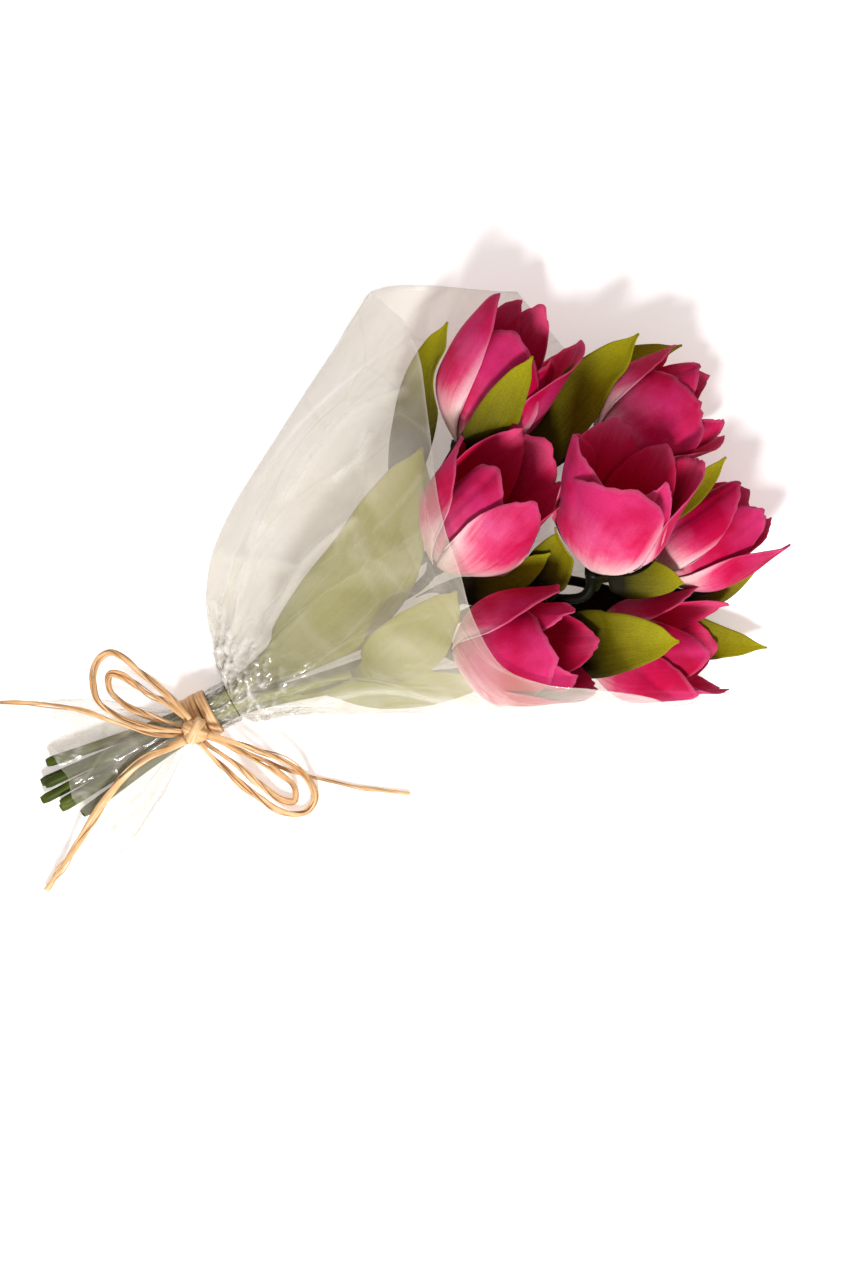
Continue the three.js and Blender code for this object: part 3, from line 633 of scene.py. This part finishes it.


# foot and mouth are the ends of a flower's axis, and mouthWidth the share of its radius left at the mouth.
# packed is the angle of its stem round the middle one at the tie, and way what the stem passes further on.
# A leaf has its place as a share of the stem, its angle from straight up there, its way, its tip, its width and the
# angle that it turns to. True marks a pale one under the film, whose cloth has less painted shade at its foot.
tulips = [
    dict(name="tulip1", foot=(143, 48, 23), mouth=(189, 76, 38), radius=22, mouthWidth=0.72,
     packed=0, cutEnd=(-66, 13, 7), way=[(80, 24, 16)],
     outer=[petal(8, 78, 0.9, 0.02, 0, 0.48), petal(-98, 70, 1.04, 0.28, 0.1, 0.6, 0.1, 0.25),
        petal(84, 70, 1.05, 0.2, 0, 0.6, 0.5, 0, 0, 0.2)],
     inner=[petal(184, 66, 1.09, 0.05, 0, 0.6, 0.1), petal(132, 62, 1.05, 0.02), petal(-74, 52, 0.84)],
     leaves=[(0.78, 60, [(128, 59, 24), (142, 77, 26)], (160, 92, 33), 24, 42),
        (0.87, -60, [(146, 40, 43), (164, 52, 55)], (181, 62, 60), 20, -5)]),
    dict(name="tulip2", foot=(111.5, 9, 37), mouth=(162, 28, 60), radius=22.3, mouthWidth=0.76,
     packed=60, cutEnd=(-70, 5.5, 11), way=[(60, 7, 24)],
     outer=[petal(-40, 46, 0.88, 0.2, 0.03, 0.5, -0.15, 0, 0, 0.34),
        petal(80, 62, 0.8, 0.36, 0.02, 0.4, 0, -0.7), petal(180, 72, 1.05, 0.12, 0.08)],
     inner=[petal(24, 60, 0.86, 0.02, 0, 0.42), petal(140, 60, 1.03, 0.1, 0.06, 0.5),
        petal(-108, 60, 1.04, 0.22, 0.1, 0.6, 0.1)],
     leaves=[(0.52, 10, [(66, 12, 31), (86, 19, 33), (108, 36, 34)], (128, 53, 33), 38, 5, True),
        (0.92, -90, [(128, -9, 38)], (152, -8, 50), 15, -20)]),
    dict(name="tulip3", foot=(102, -25, 36), mouth=(146, -45, 60), radius=22.5, mouthWidth=0.8,
     packed=120, cutEnd=(-68, -4.5, 11), way=[(55, -12, 22)],
     outer=[petal(-4, 80, 0.92, 0, 0, 0.5, 0.15), petal(72, 60, 0.88, 0.16, 0.03, 0.5),
        petal(-114, 72, 1, 0.12, 0.06, 0.5)],
     inner=[petal(56, 58, 1, 0, 0.06, 0.5), petal(176, 62, 1, 0.02, 0.02),
        petal(-54, 60, 1, 0, 0.04, 0.5, 0, 0.4)],
     leaves=[(0.75, -10, [(82, -14, 38), (96, -11, 43)], (113, -4, 47), 28, -20, True),
        (0.62, -90, [(70, -24.5, 19), (86, -32.5, 18)], (108, -42, 19), 18, -25, True)]),
    dict(name="tulip4", foot=(165, -21.5, 43), mouth=(199, 9, 68), radius=22, mouthWidth=0.9,
     packed=None, cutEnd=(-75, 0.5, 6.5), way=[(65, -4, 17), (120, -9, 24)],
     outer=[petal(24, 72, 0.94, 0.48, 0, 0.34, 0.38, 0, 0, 0.12), petal(-112, 62, 1.04, 0.2, 0.05, 0.5),
        petal(150, 66, 1.02, 0.2, 0.06, 0.5)],
     inner=[petal(72, 76, 0.98, 0.48, 0, 0.32, 0, 0, 0.12), petal(-34, 36, 0.98, 0.14, 0.06, 0.6, 0, 0.5),
        petal(-150, 56, 1, 0.06, 0.06, 0.5)],
     leaves=[(0.84, 0, [(145, -16, 42)], (163, -4, 56), 20, 20),
        (0.97, -70, [(178, -32, 42)], (193, -43, 41), 19, -30)]),
    dict(name="tulip5", foot=(191, 23, 23), mouth=(239, 20, 29), radius=22, mouthWidth=0.75,
     packed=-60, cutEnd=(-72, 7, 4.6), way=[(70, 11, 11), (135, 17, 14)],
     outer=[petal(-16, 76, 0.88, 0.02, 0.02, 0.3), petal(90, 64, 0.9, 0.12, 0.03, 0.6),
        petal(-112, 64, 0.95, 0.2, 0.06, 0.6)],
     inner=[petal(36, 64, 1, 0.03, 0.04, 0.4), petal(150, 62, 1.04), petal(-66, 56, 1, 0.08, 0.06, 0.6)],
     leaves=[(0.75, 60, [(176, 36, 24), (200, 44, 34)], (224, 52, 39), 28, 20),
        (0.82, 100, [(205, 46, 10)], (240, 41, 18), 18, 20)]),
    dict(name="tulip6", foot=(188, -36, 22), mouth=(235, -29, 28), radius=19.5, mouthWidth=0.85,
     packed=-120, cutEnd=(-70, -6, 4.6), way=[(70, -12, 10), (150, -18, 13)],
     outer=[petal(40, 50, 0.97, 0, 0, 0.5), petal(-80, 54, 1, 0.22, 0.05, 0.7), petal(160, 70, 1)],
     inner=[petal(-14, 54, 1, 0.04, 0.03, 0.5), petal(100, 50, 0.94, -0.08), petal(-140, 60, 1)],
     leaves=[(0.88, 60, [(193, -15, 38), (213, -13, 45)], (230, -7, 49), 14, 10),
        (0.97, -90, [(202, -50, 14)], (227, -50, 18), 16, -20)]),
    dict(name="tulip7", foot=(147, -49, 20), mouth=(193, -72, 27), radius=20.5, mouthWidth=0.85,
     packed=180, cutEnd=(-63, -12, 6), way=[(60, -18, 13), (110, -37, 15)],
     outer=[petal(84, 60, 0.9, 0.3, 0.04, 0.5), petal(-58, 64, 0.86, 0.1, 0.02, 0.5), petal(180, 72, 1)],
     inner=[petal(-6, 58, 0.96, 0.04, 0.04, 0.55), petal(112, 54, 1.1, 0.16, 0.06, 0.65),
        petal(-102, 60, 1.08, 0.16, 0.04, 0.45)],
     leaves=[(0.9, 0, [(159, -51, 46)], (180, -62, 50), 27, -10),
        (0.88, 90, [(167, -41, 7), (192, -67, 9)], (214, -83, 11), 21, 0)]),
]

petalSettings = dict(
    columns=26, rows=20, thickness=0.45, sideRise=0.3, overlap=0.05, camber=0.14,
    crease=0.035, creaseWidth=0.07, ripple=0.07, nick=0.05, tipHeight=0.035, tipWidth=0.14,
    waves=0.03, flatTo=0.45, turnedOut=0.3, turnedIn=0.5, sway=5, sink=0.35)
layerSettings = {
    "outer": dict(width=1, lift=0, seed=1, slot="petal_fabric"),
    "inner": dict(width=0.84, lift=1.3, seed=5, slot="inner_petal_fabric")}
bellSettings = dict(foot=0.17, widestAt=0.42, footRound=2.2)


def axisOf(tulip):
    foot, mouth = Vector(tulip["foot"]), Vector(tulip["mouth"])
    return foot, (mouth - foot).normalized(), (mouth - foot).length


def bellWidth(tulip, share):
    # radius of a flower at a share of its length, as a share of its greatest radius
    foot, widestAt, footRound = bellSettings.values()
    if share < widestAt:
        return 1 - (1 - foot) * (1 - max(share, 0) / widestAt) ** footRound
    return 1 - (1 - tulip["mouthWidth"]) * ((min(share, 1.1) - widestAt) / (1 - widestAt)) ** 2


def addPetal(mesh, tulip, shape, layer, seed):
    at, spread, reach, lean, curl, point, skew, fold, bulge, pale = shape
    foot, axis, length = axisOf(tulip)
    length -= layer["lift"]
    up = squareTo(axis, 0)
    left = up.cross(axis)
    radius, settings = tulip["radius"], petalSettings

    def move(across, along):
        # a is -1 and 1 at the side margins, and the rim falls from the tip to both
        a = 2 * across - 1
        skewed = a - skew * (1 - a * a)
        top = max(cos(pi * skewed / 2), 0) ** point
        top = settings["sideRise"] + (1 - settings["sideRise"]) * top
        top += settings["tipHeight"] * exp(-(skewed / settings["tipWidth"]) ** 2)
        top *= 1 - settings["nick"] * abs(lump(a * 6 + seed * 5, seed, 0.2))
        rise = along * top * reach
        share = min(max(rise, 0), 1.08)
        curled = curl * max(0, (along - 0.7) / 0.3) ** 2
        # how far out it is, as a share of the flower's radius
        out = layer["width"] * bellWidth(tulip, share)
        out += lean * stepUp(share, 0.1, 1.1) * (0.4 + 0.6 * share)
        out += bulge * sin(pi * min(share, 1)) ** 1.5
        out += curled
        out += settings["overlap"] * a
        out -= settings["camber"] * abs(a) ** 2.4 * stepUp(share, 0.25, 0.95)
        out -= settings["crease"] * exp(-(skewed / settings["creaseWidth"]) ** 2) * stepUp(share, 0.1, 0.5)
        out += settings["ripple"] * lump(a * 1.6 + seed * 3.1, share * 2.4, seed)
        out += settings["waves"] * sin(5 * a + seed * 1.7) * along ** 5
        # one margin turned back on itself
        flat = settings["flatTo"]
        turned = max(0, (a if fold > 0 else -a) - flat) / (1 - flat) * stepUp(share, 0.15, 0.6) * abs(fold)
        out += settings["turnedOut"] * turned ** 2
        a -= copysign(settings["turnedIn"] * turned ** 2, fold)
        sway = settings["sway"] * lump(seed * 2.7, share * 1.5, 1.3)
        angle = radians(at + sway - spread * a)
        heading = up * cos(angle) + left * sin(angle)
        height = layer["lift"] + length * rise - settings["sink"] * radius * curled
        return foot + axis * height + heading * (radius * out), rise * (1 - pale)

    addGrid(mesh, settings["columns"], settings["rows"], move)


def makePetals(tulip, layer, settings, seed):
    mesh = bmesh.new()
    for index, shape in enumerate(tulip[layer]):
        addPetal(mesh, tulip, shape, settings, seed + settings["seed"] + index)
    finishPiece(mesh, [petalOutside, petalInside], f"{tulip['name']}_{layer}_petals",
            petalSettings["thickness"])


for index, tulip in enumerate(tulips):
    for layer, settings in layerSettings.items():
        makePetals(tulip, layer, settings, 11 * index)
print("petals ready")

stemSettings = dict(radius=2.2, gap=0.3, tieHeight=10.4, pitch=5.2, tieLength=14, rows=110,
    tube=dict(sides=16, ridges=6, depth=0.03), collar=3.9, collarFrom=0.975,
    below=1.1, straight=12, cutEnd=0.8)


def stemRoute(tulip):
    foot, axis, _ = axisOf(tulip)
    tie = Vector((0, 0, stemSettings["tieHeight"]))
    if tulip["packed"] is not None:
        angle = radians(tulip["packed"])
        tie += Vector((0, cos(angle), sin(angle))) * stemSettings["pitch"]
    top = foot - axis * stemSettings["below"]
    before, after = (Vector((end * stemSettings["tieLength"], tie.y, tie.z)) for end in (-1, 1))
    return [tulip["cutEnd"], before, tie, after, *tulip["way"], top - axis * stemSettings["straight"], top]


def makeStem(tulip, seed):
    rows = stemSettings["rows"]
    mesh = bmesh.new()
    widths = []
    for row in range(rows + 1):
        width = stemSettings["radius"] * (0.97 + 0.05 * wander(seed, row / rows, 12))
        swell = stepUp(row / rows, stemSettings["collarFrom"], 1)
        widths.append(width * (1 - swell) + stemSettings["collar"] * swell)
    widths[0] *= stemSettings["cutEnd"]
    addTube(mesh, smoothLine(stemRoute(tulip), rows + 1), widths, **stemSettings["tube"])
    finishTubes(mesh, stemPlastic, f"{tulip['name']}_stem")


for index, tulip in enumerate(tulips):
    makeStem(tulip, index + 1)
stemLines = [smoothLine(stemRoute(tulip), 121) for tulip in tulips]
print("stems ready")


def wayOut(point, tulip, margin):
    # the way out of a flower for a point inside it or against its side
    foot, axis, length = axisOf(tulip)
    share = (point - foot).dot(axis) / length
    if share < -0.1 or share > 1.05:
        return None
    outward = point - foot.lerp(Vector(tulip["mouth"]), share)
    depth = tulip["radius"] * bellWidth(tulip, min(max(share, 0), 1)) + margin - outward.length
    return outward.normalized() * depth if depth > 0 else None


def clearOfFlowers(point, margin):
    for tulip in tulips:
        out = wayOut(point, tulip, margin)
        if out:
            point = point + out
    return point


def overFlowers(point, margin):
    outward = Vector((0, point.y, point.z)).normalized()
    while any(wayOut(point, tulip, margin) for tulip in tulips):
        point = point + outward
    return point


def clearOfStems(point, margin):
    least = stemSettings["radius"] + margin
    for line in stemLines:
        away = np.array(point) - line
        far = np.linalg.norm(away, axis=1)
        nearest = int(np.argmin(far))
        if far[nearest] < least:
            point = Vector(line[nearest]) + Vector(away[nearest]).normalized() * least
    return point


leafSettings = dict(columns=14, rows=44, thickness=0.5, flowerMargin=2.2, stemMargin=0.8, seat=0.4,
    curl=0.12, fold=0.1, wave=0.5, free=0.13, turned=0.45, smooth=0.4,
    stalk=0.13, stalkTo=0.15, fullness=0.8, tipFrom=0.9, tipFade=0.75)


def leafShare(share):
    # half the width of a leaf at a share of its length, as a share of its greatest
    stalkTo = leafSettings["stalkTo"]
    if share < stalkTo:
        return leafSettings["stalk"] + 2 * share
    blade = sin(pi * (0.16 + 0.82 * (share - stalkTo) / (1 - stalkTo)))
    tip = 1 - stepUp(share, leafSettings["tipFrom"], 1) * leafSettings["tipFade"]
    return max(0.05, blade) ** leafSettings["fullness"] * tip


def makeLeaf(node, leaf, stem, seed):
    start, side, way, tip, width, roll, *pale = leaf
    at = round(start * (len(stem) - 1))
    root, along = Vector(stem[at]), Vector(tangents(stem)[at])
    outward = squareTo(along, side)
    seat = stemSettings["radius"] + stemSettings["gap"] + leafSettings["seat"]
    rows = leafSettings["rows"]
    spine = smoothLine([root + outward * seat, root + outward * (seat + 1) + along * 7, *way, tip], rows + 1)
    headings = tangents(spine)
    mesh = bmesh.new()

    def move(across, onward):
        row = round(onward * rows)
        a = 2 * across - 1
        settled = stepUp(onward, 0, leafSettings["turned"])
        normal = squareTo(headings[row], side + (roll - side) * settled)
        half = width / 2 * leafShare(onward)
        lift = leafSettings["curl"] * half * a * a
        lift += leafSettings["fold"] * half * (abs(a) - 0.5)
        lift += leafSettings["wave"] * wander(seed, onward + 0.25 * a, 5) * abs(a)
        point = Vector(spine[row]) + Vector(headings[row]).cross(normal) * (a * half) + normal * (lift * settled)
        if onward > leafSettings["free"]:
            point = clearOfFlowers(point, leafSettings["flowerMargin"])
        return clearOfStems(point, leafSettings["stemMargin"]), onward

    corners = addGrid(mesh, leafSettings["columns"], rows, move, (width / 20, 1))
    bmesh.ops.smooth_vert(mesh, verts=corners, factor=leafSettings["smooth"],
            use_axis_x=True, use_axis_y=True, use_axis_z=True)
    cloth = paleLeafCloth if pale else leafCloth
    finishPiece(mesh, [cloth], node, leafSettings["thickness"], 0)


for index, tulip in enumerate(tulips):
    stem = smoothLine(stemRoute(tulip), 401)
    for letter, leaf in zip("ab", tulip["leaves"]):
        makeLeaf(f"{tulip['name']}_leaf_{letter}", leaf, stem, 2 * index + ord(letter))
print("leaves ready")

# Film sleeve: an arch is a line across the front panel, left edge first, and a crease a line seen from above.
# A ring of the skirt has its place, half its width, half its height and the height of its middle.
edge = 1.2
filmSettings = dict(
    arches=[
        [(13, 6.6, 4.6), (13, 7.4, 14), (13, 0, 18.7), (13, -7.4, 14), (13, -6.6, 4.6)],
        [(19, 36, edge), (25, 26, 11), (31, 6, 26), (32, -9, 22), (31, -17, edge)],
        [(36, 60, edge), (48, 44, 20), (66, 14, 40), (66, -14, 36), (63, -30, 20), (62, -34, edge)],
        [(88, 92, edge), (92, 72, 28), (100, 30, 50), (98, 0, 58), (98, -30, 58), (98, -48, 40), (97, -50, edge)],
        [(117, 108, edge), (120, 82, 32), (116, 42, 54), (110, 14, 65), (107, -14, 65), (106, -34, 64),
            (111, -54, 58), (124, -63, 42), (140, -72, 22), (146, -72, edge)],
        [(140, 121, edge), (145, 93, 34), (132, 54, 50), (122, 26, 69), (117, 0, 69), (113, -30, 70),
            (124, -48, 72), (139, -60, 74), (158, -74, 52), (172, -86, 28), (185, -86, edge)]],
    creases=[[(62, 71), (85, 82), (118, 89), (150, 93)], [(71, 61), (90, 70), (111, 78), (132, 75)],
        [(35, 55), (50, 44), (62, 34)], [(26, 22), (44, 44), (58, 58)],
        [(40, -14), (70, -24), (92, -40)], [(92, 58), (104, 60), (112, 66)],
        [(30, 12), (48, 24), (70, 36), (90, 40)]],
    rows=13, columns=17, finer=8, margin=3, thickness=0.25, flat=(0.235, 0.215),
    creaseWidth=1.7, creaseShare=0.3, creaseHeight=4)
backSettings = dict(neck=[(13.3, 6.6, 0), (13.3, -6.6, 0)], rim=[(193, 93, 0), (196, -50, 0)], bow=9,
    steps=49, columns=40, height=0.35, uneven=0.2, lowest=0.15)
skirtSettings = dict(
    rings=[(12.6, 8.2, 8.2, 10.4), (4, 8.2, 8.2, 10.4), (-9, 8.2, 8.2, 10.4), (-16, 10.5, 8.6, 10),
        (-30, 20, 8.4, 9.2), (-46, 29, 8, 8.8), (-61, 36, 7.6, 8.4)],
    columns=32, finerRows=12, finerColumns=5, flat=(0.15, 0.085), ragged=2.2, lowest=0.2)


def throughPoints(grid, times, wrap=False):
    # more rows between the given ones, on smooth curves through them
    rows = len(grid)
    made = []
    for index in range(rows if wrap else rows - 1):
        p0, p1, p2, p3 = (grid[(index + shift) % rows] if wrap else grid[min(max(index + shift, 0), rows - 1)]
                for shift in (-1, 0, 1, 2))
        for t in np.linspace(0, 1, times, endpoint=False):
            made.append(0.5 * (2 * p1 + (p2 - p0) * t + (2 * p0 - 5 * p1 + 4 * p2 - p3) * t ** 2
                    + (3 * p1 - p0 - 3 * p2 + p3) * t ** 3))
    made.append(grid[0] if wrap else grid[-1])
    return np.array(made)


def finerGrid(grid, rowTimes, columnTimes, wrap=False):
    grid = throughPoints(grid, rowTimes)
    return np.swapaxes(throughPoints(np.swapaxes(grid, 0, 1), columnTimes, wrap), 0, 1)


def ridge(x, y, seed):
    return (1 - abs(lump(x, y, seed))) ** 4


def crumple(grid, relief):
    # moves each place square to the film as relief says, and tells how sharply the film is folded there
    along, across = np.gradient(grid, axis=0), np.gradient(grid, axis=1)
    normals = np.cross(across, along)
    normals /= np.maximum(np.linalg.norm(normals, axis=2), 1e-9)[:, :, None]
    rows, columns = grid.shape[:2]
    creased = np.zeros((rows, columns))
    for row, column in np.ndindex(rows, columns):
        height, creased[row, column] = relief(row / (rows - 1), column / (columns - 1), grid[row, column])
        grid[row, column] += normals[row, column] * height
    return creased


def makeFilmPiece(grid, node, creased, wrap=False, film=clearFilm):
    rows, columns = len(grid) - 1, len(grid[0]) - 1
    mesh = bmesh.new()

    def move(across, along):
        row, column = round(along * rows), round(across * columns)
        return Vector(grid[row][column]), creased[row][column]

    corners = addGrid(mesh, columns, rows, move)
    if wrap:
        bmesh.ops.remove_doubles(mesh, verts=corners, dist=sameSpot)
    piece = finishPiece(mesh, [film], node, filmSettings["thickness"], 0)


def makeFrontFilm(settings):
    columns, rows = settings["columns"], settings["rows"]
    arches = [smoothLine(arch, columns + 1) for arch in settings["arches"]]
    lines = [smoothSteps([arch[column] for arch in arches], rows) for column in range(columns + 1)]
    coarse = np.array([[list(overFlowers(Vector(line[row]), settings["margin"])) for line in lines]
            for row in range(rows + 1)])
    grid = finerGrid(coarse, settings["finer"], settings["finer"])
    creases = [smoothLine([(x, y, 0) for x, y in line], 60)[:, :2] for line in settings["creases"]]

    def relief(r, c, point):
        # gathers run from the neck, the film is crushed there, and long creases cross the panel
        away = min(float(np.linalg.norm(line - point[:2], axis=1).min()) for line in creases)
        line = settings["creaseShare"] * exp(-(away / settings["creaseWidth"]) ** 2)
        gathers = ridge(c * 9 + 0.6 * sin(3 * r), r * 1.2, 0.4) * (1.6 - 1.3 * stepUp(r, 0.1, 0.7))
        folds = ridge(c * 3 + r * 2, r * 3 - c * 2, 7.7) * 0.9
        soft = 1.8 * lump(c * 3, r * 3, 3.1)
        crush = ridge(c * 11 + r * 9, r * 16, 2.2) + 0.6 * ridge(c * 24 - r * 16, r * 36, 5.2)
        crush *= 2.4 * (1 - stepUp(r, 0.08, 0.4))
        held = min(1, 8 * c, 8 * (1 - c)) * stepUp(r, 0, 0.06)
        rim = exp(-(min(c, 1 - c) * 60) ** 2) + exp(-((1 - r) * 90) ** 2)
        height = (gathers + folds + soft + crush + settings["creaseHeight"] * line) * held
        # the second number marks creases, crushed film and edges for the painted white highlight
        return height, min(1, line + max(0, 0.34 * crush - 0.35) + 0.35 * rim)

    creased = crumple(grid, relief)
    makeFilmPiece(grid, "sleeve_front", creased)


def makeBackFilm(settings):
    # the flat panel under everything, between the left and right edges of the arches and the back rim
    steps, columns = settings["steps"], settings["columns"]
    sides = []
    for end, neck, rim in zip((0, -1), settings["neck"], settings["rim"]):
        sides.append(smoothSteps([neck] + [arch[end] for arch in filmSettings["arches"][1:]] + [rim], steps))
    grid = np.zeros((steps + 1, columns + 1, 3))
    for row, column in np.ndindex(steps + 1, columns + 1):
        c = column / columns
        point = sides[0][row] * (1 - c) + sides[1][row] * c
        bow = sin(pi * c) * settings["bow"] * (row / steps) ** 6
        height = settings["height"] + settings["uneven"] * lump(row / 7, column / 6, 2.2)
        grid[row, column] = (point[0] + bow, point[1], max(height, settings["lowest"]))
    makeFilmPiece(grid, "sleeve_back", np.zeros(grid.shape[:2]))


def makeSkirtFilm(settings):
    columns = settings["columns"]
    turns = [-2 * pi * column / columns for column in range(columns)]
    coarse = np.array([[(x, wide * cos(turn), middle + high * sin(turn)) for turn in turns]
            for x, wide, high, middle in settings["rings"]])
    grid = finerGrid(coarse, settings["finerRows"], settings["finerColumns"], True)

    def around(c, size):
        turn = 2 * pi * (c % 1)
        return cos(turn) * size, sin(turn) * size

    def relief(r, c, point):
        # small pleats at the neck, wide ones further down, and the film crushed beside the tie
        turn, (x, y) = 2 * pi * (c % 1), around(c, 4)
        spread = stepUp(r, 0.36, 0.9)
        pleat = 0.25 * sin(15 * turn) + spread * 1.5 * sin(9 * turn + 2 * sin(3 * r))
        soft = spread * 1.2 * lump(*around(c, 3), r * 6)
        crush = ridge(x * 2 + r * 20, y * 2 + r * 30, 3.3) * (1 - stepUp(r, 0.1, 0.22))
        folds = ridge(x + r * 2, y + r * 5, 8.1) * spread
        # the second number marks crushed film and sharp folds for the painted white highlight
        return pleat + soft + 0.8 * crush + 1.5 * folds, min(1, max(0, crush - 0.35) + max(0, 1.6 * folds - 1.1))

    creased = crumple(grid, relief)
    rows, columns = grid.shape[:2]
    for row, column in np.ndindex(rows, columns):
        uneven = lump(*around(column / (columns - 1), 4), 5)
        grid[row, column, 0] -= settings["ragged"] * stepUp(row / (rows - 1), 0.9, 1) * uneven
    grid[:, :, 2] = np.maximum(grid[:, :, 2], settings["lowest"])
    makeFilmPiece(grid, "sleeve_skirt", creased, True, skirtFilm)


makeFrontFilm(filmSettings)
makeBackFilm(backSettings)
makeSkirtFilm(skirtSettings)
print("film ready")

# Table and light. The table glows a little, painted light that lightens the shadows on it
tableSettings = dict(half=4, grain=30, shades=[(0.3, 0.93), (0.7, 0.96)],
    surface={"Roughness": 0.7, "Specular IOR Level": 0.2, "Emission Color": (1, 0.95, 0.93, 1),
        "Emission Strength": 0.36})
tableMesh = bmesh.new()
bmesh.ops.create_grid(tableMesh, x_segments=2, y_segments=2, size=tableSettings["half"])
tableData = bpy.data.meshes.new("table")
tableMesh.to_mesh(tableData)
tableMesh.free()
table = addObject("table", tableData)
tableFinish, tableTree, tableSurface, _, where, _ = newMaterial("tableFinish")
tableGrain = addNoise(tableTree, where, tableSettings["grain"], 2)
tableShade = addRamp(tableTree, tableGrain, tableSettings["shades"])
feed(tableTree, tableSurface, {"Base Color": tableShade, **tableSettings["surface"]})
tableData.materials.append(tableFinish)

lightSettings = dict(world=dict(Color=(1, 0.91, 0.88, 1), Strength=0.52),
    key=dict(color=(0.96, 0.98, 1), energy=15.5, size=0.22), aside=(-0.47, -0.88), reach=0.72, height=0.95)
world = bpy.data.worlds.new("studio")
bpy.context.scene.world = world
world.use_nodes = True
feed(world.node_tree, world.node_tree.nodes["Background"], lightSettings["world"])
key = addObject("key", bpy.data.lights.new("key", "AREA"))
setAll(key.data, lightSettings["key"])
key.location = (*[part * lightSettings["reach"] for part in lightSettings["aside"]], lightSettings["height"])
key.rotation_euler = (-key.location).to_track_quat("-Z", "Y").to_euler()
bpy.context.scene.view_settings.view_transform = "Standard"
print("light ready")
